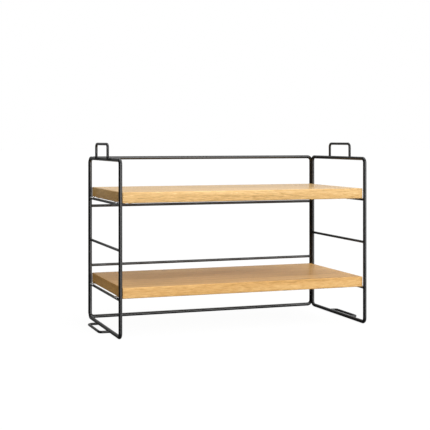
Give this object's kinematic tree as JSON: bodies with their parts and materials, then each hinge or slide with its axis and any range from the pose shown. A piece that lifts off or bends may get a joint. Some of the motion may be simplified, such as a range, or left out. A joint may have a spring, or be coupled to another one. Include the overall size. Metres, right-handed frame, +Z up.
{
  "type": "desk hutch",
  "caption": "Open desktop hutch with oak shelf boards hung on strip hooks between black wire end frames, a wire back frame, and lifting and foot loops at both ends.",
  "frame": {"origin": "on the desk surface, at the middle of the object's plan", "axes": "+X along the boards to the right as seen from the open front, +Y to the back frame, +Z up"},
  "size_m": [0.5404, 0.2553, 0.3563],
  "materials": {
    "black_powder_coat": "satin black powder coat",
    "oak": "light oak, clear satin lacquer",
    "zinc_plate": "bright zinc plating"
  },
  "bodies": {
    "root": {"back_frame_outline": "black_powder_coat", "back_lower_crossbar": "black_powder_coat", "back_upper_crossbar": "black_powder_coat", "left_foot_loop": "black_powder_coat", "left_frame_outline": "black_powder_coat", "left_lower_shelf_rung": "black_powder_coat", "left_middle_rung": "black_powder_coat", "left_top_loop": "black_powder_coat", "left_upper_shelf_rung": "black_powder_coat", "lower_left_front_hook": "zinc_plate", "lower_left_front_inner_screw": "zinc_plate", "lower_left_front_outer_screw": "zinc_plate", "lower_left_rear_hook": "zinc_plate", "lower_left_rear_inner_screw": "zinc_plate", "lower_left_rear_outer_screw": "zinc_plate", "lower_right_front_hook": "zinc_plate", "lower_right_front_inner_screw": "zinc_plate", "lower_right_front_outer_screw": "zinc_plate", "lower_right_rear_hook": "zinc_plate", "lower_right_rear_inner_screw": "zinc_plate", "lower_right_rear_outer_screw": "zinc_plate", "lower_shelf_board": "oak", "right_foot_loop": "black_powder_coat", "right_frame_outline": "black_powder_coat", "right_lower_shelf_rung": "black_powder_coat", "right_middle_rung": "black_powder_coat", "right_top_loop": "black_powder_coat", "right_upper_shelf_rung": "black_powder_coat", "upper_left_front_hook": "zinc_plate", "upper_left_front_inner_screw": "zinc_plate", "upper_left_front_outer_screw": "zinc_plate", "upper_left_rear_hook": "zinc_plate", "upper_left_rear_inner_screw": "zinc_plate", "upper_left_rear_outer_screw": "zinc_plate", "upper_right_front_hook": "zinc_plate", "upper_right_front_inner_screw": "zinc_plate", "upper_right_front_outer_screw": "zinc_plate", "upper_right_rear_hook": "zinc_plate", "upper_right_rear_inner_screw": "zinc_plate", "upper_right_rear_outer_screw": "zinc_plate", "upper_shelf_board": "oak"}
  },
  "joints": []
}
